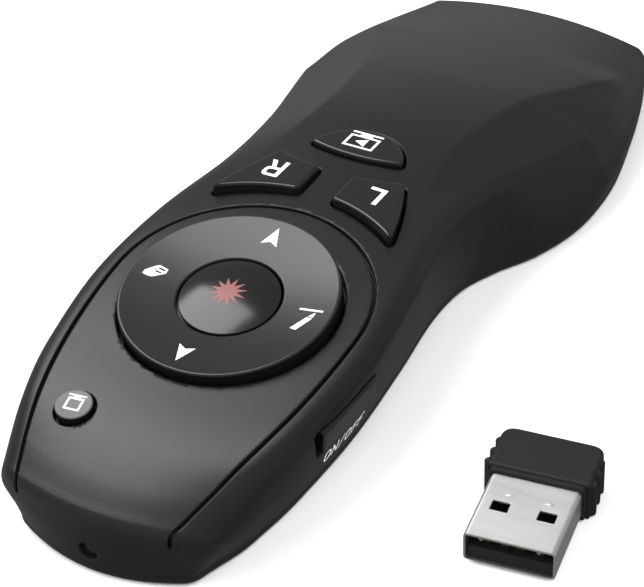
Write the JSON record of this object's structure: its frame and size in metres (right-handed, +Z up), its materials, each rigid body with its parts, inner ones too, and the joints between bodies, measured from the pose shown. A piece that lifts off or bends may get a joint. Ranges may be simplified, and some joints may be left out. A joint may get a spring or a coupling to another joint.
{
  "type": "wireless presentation clicker",
  "caption": "Hand-held wireless presentation clicker with a rocking dial ring, laser button, slide keys, side power slider and a separate USB receiver.",
  "frame": {"origin": "on the resting surface, straight below the centre of the dial", "axes": "+Y along the body towards the palm end, the laser looks out along -Y, +Z up, +X towards the power slider"},
  "size_m": [0.08, 0.138, 0.0216],
  "materials": {
    "body_plastic": "fine-textured black moulding",
    "cover_plastic": "fine-textured black moulding with a soft sheen",
    "screw_steel": "plated steel",
    "board_green": "solder mask",
    "chip_black": "moulded epoxy",
    "laser_brass": "turned brass",
    "window_dark": "dark clear plastic",
    "cell_jacket": "printed foil jacket",
    "contact_plate": "plated spring brass",
    "inner_plastic": "natural moulding",
    "dial_gloss": "polished black",
    "button_gloss": "polished black, dished",
    "key_plastic": "satin black",
    "round_key_plastic": "satin grey",
    "slider_plastic": "satin black",
    "receiver_plastic": "fine-textured black moulding",
    "plug_steel": "nickel-plated sheet steel",
    "tongue_black": "moulded insulator",
    "legend_white": "printed legend",
    "legend_red": "printed legend"
  },
  "bodies": {
    "body": {"top_shell": "body_plastic", "front_cover": "cover_plastic", "bottom_shell": "body_plastic", "case_screws": "screw_steel", "main_board": "board_green", "board_chips": "chip_black", "tact_switches": "screw_steel", "power_switch": "screw_steel", "board_screws": "screw_steel", "laser_barrel": "laser_brass", "laser_window": "window_dark", "left_cell": "cell_jacket", "right_cell": "cell_jacket", "cell_springs": "contact_plate", "cell_bridge": "contact_plate", "pivot_saddles": "inner_plastic"},
    "door": {"battery_door": "body_plastic"},
    "rocker": {"rocker_frame": "inner_plastic"},
    "ring": {"dial_ring": "dial_gloss"},
    "centre_button": {"laser_button": "button_gloss"},
    "left_key": {"left_click_key": "key_plastic"},
    "right_key": {"right_click_key": "key_plastic"},
    "show_key": {"slide_show_key": "key_plastic"},
    "round_key": {"blank_key": "round_key_plastic"},
    "slider": {"power_slider": "slider_plastic"},
    "receiver": {"receiver_housing": "receiver_plastic", "receiver_plug": "plug_steel", "receiver_tongue": "tongue_black", "receiver_contacts": "contact_plate", "receiver_board": "board_green"}
  },
  "joints": [
    {"name": "ring_pitch", "type": "hinge", "parent": "body", "child": "rocker", "pos_m": [0, 0.00078, 0.01395], "axis": [1, 0, 0], "range_deg": [-2, 2], "stiffness_Nm_per_rad": 0.1},
    {"name": "ring_roll", "type": "hinge", "parent": "rocker", "child": "ring", "pos_m": [0, 0.00078, 0.01395], "axis": [0, 0.9903, 0.1392], "range_deg": [-2, 2], "stiffness_Nm_per_rad": 0.1},
    {"name": "laser_press", "type": "slide", "parent": "body", "child": "centre_button", "axis": [0, 0.1392, -0.9903], "range_m": [0, 0.0005], "stiffness_N_per_m": 200, "springref_m": -0.0005},
    {"name": "left_click_press", "type": "slide", "parent": "body", "child": "left_key", "axis": [0, 0, -1], "range_m": [0, 0.0005], "stiffness_N_per_m": 200, "springref_m": -0.0005},
    {"name": "right_click_press", "type": "slide", "parent": "body", "child": "right_key", "axis": [0, 0, -1], "range_m": [0, 0.0005], "stiffness_N_per_m": 200, "springref_m": -0.0005},
    {"name": "show_press", "type": "slide", "parent": "body", "child": "show_key", "axis": [0, 0, -1], "range_m": [0, 0.0005], "stiffness_N_per_m": 200, "springref_m": -0.0005},
    {"name": "blank_press", "type": "slide", "parent": "body", "child": "round_key", "axis": [0, 0.1392, -0.9903], "range_m": [0, 0.0005], "stiffness_N_per_m": 200, "springref_m": -0.0005},
    {"name": "power_slide", "type": "slide", "parent": "body", "child": "slider", "axis": [-0.0558, -0.9984, 0], "range_m": [0, 0.001]},
    {"name": "door_slide", "type": "slide", "parent": "body", "child": "door", "axis": [0, 1, 0], "range_m": [0, 0.05]},
    {"name": "receiver_lift", "type": "slide", "parent": "body", "child": "receiver", "axis": [0, 0, 1], "range_m": [0, 0.05]}
  ]
}
